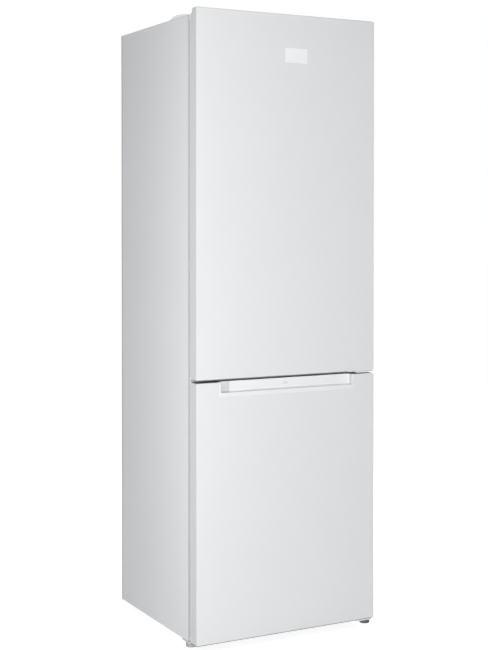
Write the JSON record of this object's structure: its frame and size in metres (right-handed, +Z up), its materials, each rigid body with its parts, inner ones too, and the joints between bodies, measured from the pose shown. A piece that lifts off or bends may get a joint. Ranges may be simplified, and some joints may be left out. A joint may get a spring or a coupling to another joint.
{
  "type": "refrigerator",
  "caption": "Tall white free-standing fridge-freezer with the fridge door above the freezer door, hinged on the right, and a finger-pocket handle in the freezer door's top edge.",
  "frame": {"origin": "on the floor, under the middle of the whole object", "axes": "+X to the right as seen from the front, +Y to the back, +Z up"},
  "size_m": [0.595, 0.5656, 1.818],
  "materials": {
    "white_enamel": "satin",
    "white_plastic": "satin",
    "inner_white": "satin",
    "seal_grey": "matte",
    "foam": "matte",
    "zinc": "satin",
    "black_enamel": "satin",
    "black_plastic": "matte",
    "grey_plastic": "matte",
    "black_rubber": "matte",
    "shelf_glass": "gloss",
    "clear_plastic": "gloss",
    "lamp_lens": "satin",
    "aluminium": "satin",
    "copper": "satin"
  },
  "bodies": {
    "cabinet": {"left_side_panel": "white_enamel", "right_side_panel": "white_enamel", "top_panel": "white_enamel", "back_panel": "zinc", "base_pan": "zinc", "insulation_foam": "foam", "fridge_liner": "inner_white", "freezer_liner": "inner_white", "centre_rail": "white_enamel", "top_cover": "white_plastic", "top_hinge": "zinc", "middle_hinge": "white_enamel", "bottom_hinge": "zinc", "foot_bracket": "zinc", "hinge_screws": "zinc", "fridge_evaporator": "aluminium", "freezer_evaporator": "aluminium", "glass_shelves": "shelf_glass", "crisper_lid": "shelf_glass", "shelf_trims": "white_plastic", "freezer_shelves": "shelf_glass", "control_housing": "inner_white", "lamp_cover": "lamp_lens", "compressor_base": "zinc", "compressor": "black_enamel", "compressor_mounts": "black_rubber", "terminal_box": "black_plastic", "drip_tray": "black_plastic", "cord_gland": "black_rubber", "condenser_tube": "black_enamel", "condenser_wires": "black_enamel", "condenser_brackets": "grey_plastic", "filter_drier": "copper", "refrigerant_pipes": "copper", "roller_brackets": "zinc"},
    "fridge_door": {"fridge_door_panel": "white_enamel", "fridge_door_top_cap": "white_plastic", "fridge_door_bottom_cap": "white_plastic", "fridge_door_liner": "inner_white", "fridge_door_foam": "foam", "fridge_door_gasket": "seal_grey", "upper_door_bins": "clear_plastic", "bottle_bin": "clear_plastic"},
    "freezer_door": {"freezer_door_panel": "white_enamel", "freezer_door_top_cap": "white_plastic", "freezer_door_bottom_cap": "white_plastic", "freezer_door_handle": "white_plastic", "freezer_door_liner": "inner_white", "freezer_door_foam": "foam", "freezer_door_gasket": "seal_grey"},
    "crisper": {"crisper_drawer": "clear_plastic"},
    "top_drawer": {"freezer_drawer_top": "clear_plastic"},
    "middle_drawer": {"freezer_drawer_middle": "clear_plastic"},
    "bottom_drawer": {"freezer_drawer_bottom": "clear_plastic"},
    "knob": {"thermostat_knob": "grey_plastic"},
    "left_foot": {"front_left_foot": "grey_plastic"},
    "right_foot": {"front_right_foot": "black_plastic"},
    "left_roller": {"rear_left_roller": "black_plastic"},
    "right_roller": {"rear_right_roller": "black_plastic"}
  },
  "joints": [
    {"name": "fridge_door_swing", "type": "hinge", "parent": "cabinet", "child": "fridge_door", "pos_m": [0.2815, -0.25785, 1.293], "axis": [0, 0, 1], "range_deg": [0, 115]},
    {"name": "freezer_door_swing", "type": "hinge", "parent": "cabinet", "child": "freezer_door", "pos_m": [0.2815, -0.25785, 0.3895], "axis": [0, 0, 1], "range_deg": [0, 115]},
    {"name": "crisper_slide", "type": "slide", "parent": "cabinet", "child": "crisper", "axis": [0, -1, 0], "range_m": [0, 0.012]},
    {"name": "top_drawer_slide", "type": "slide", "parent": "cabinet", "child": "top_drawer", "axis": [0, -1, 0], "range_m": [0, 0.012]},
    {"name": "middle_drawer_slide", "type": "slide", "parent": "cabinet", "child": "middle_drawer", "axis": [0, -1, 0], "range_m": [0, 0.012]},
    {"name": "bottom_drawer_slide", "type": "slide", "parent": "cabinet", "child": "bottom_drawer", "axis": [0, -1, 0], "range_m": [0, 0.012]},
    {"name": "thermostat_turn", "type": "hinge", "parent": "cabinet", "child": "knob", "pos_m": [0.075, -0.11115, 1.735], "axis": [0, -1, 0], "range_deg": [0, 270]},
    {"name": "left_foot_turn", "type": "hinge", "parent": "cabinet", "child": "left_foot", "pos_m": [-0.282, -0.21535, 0], "axis": [0, 0, 1], "continuous": true},
    {"name": "right_foot_turn", "type": "hinge", "parent": "cabinet", "child": "right_foot", "pos_m": [0.2815, -0.25785, 0], "axis": [0, 0, 1], "continuous": true},
    {"name": "left_roller_spin", "type": "hinge", "parent": "cabinet", "child": "left_roller", "pos_m": [-0.2375, 0.21815, 0.013], "axis": [1, 0, 0], "continuous": true},
    {"name": "right_roller_spin", "type": "hinge", "parent": "cabinet", "child": "right_roller", "pos_m": [0.2375, 0.21815, 0.013], "axis": [1, 0, 0], "continuous": true}
  ]
}
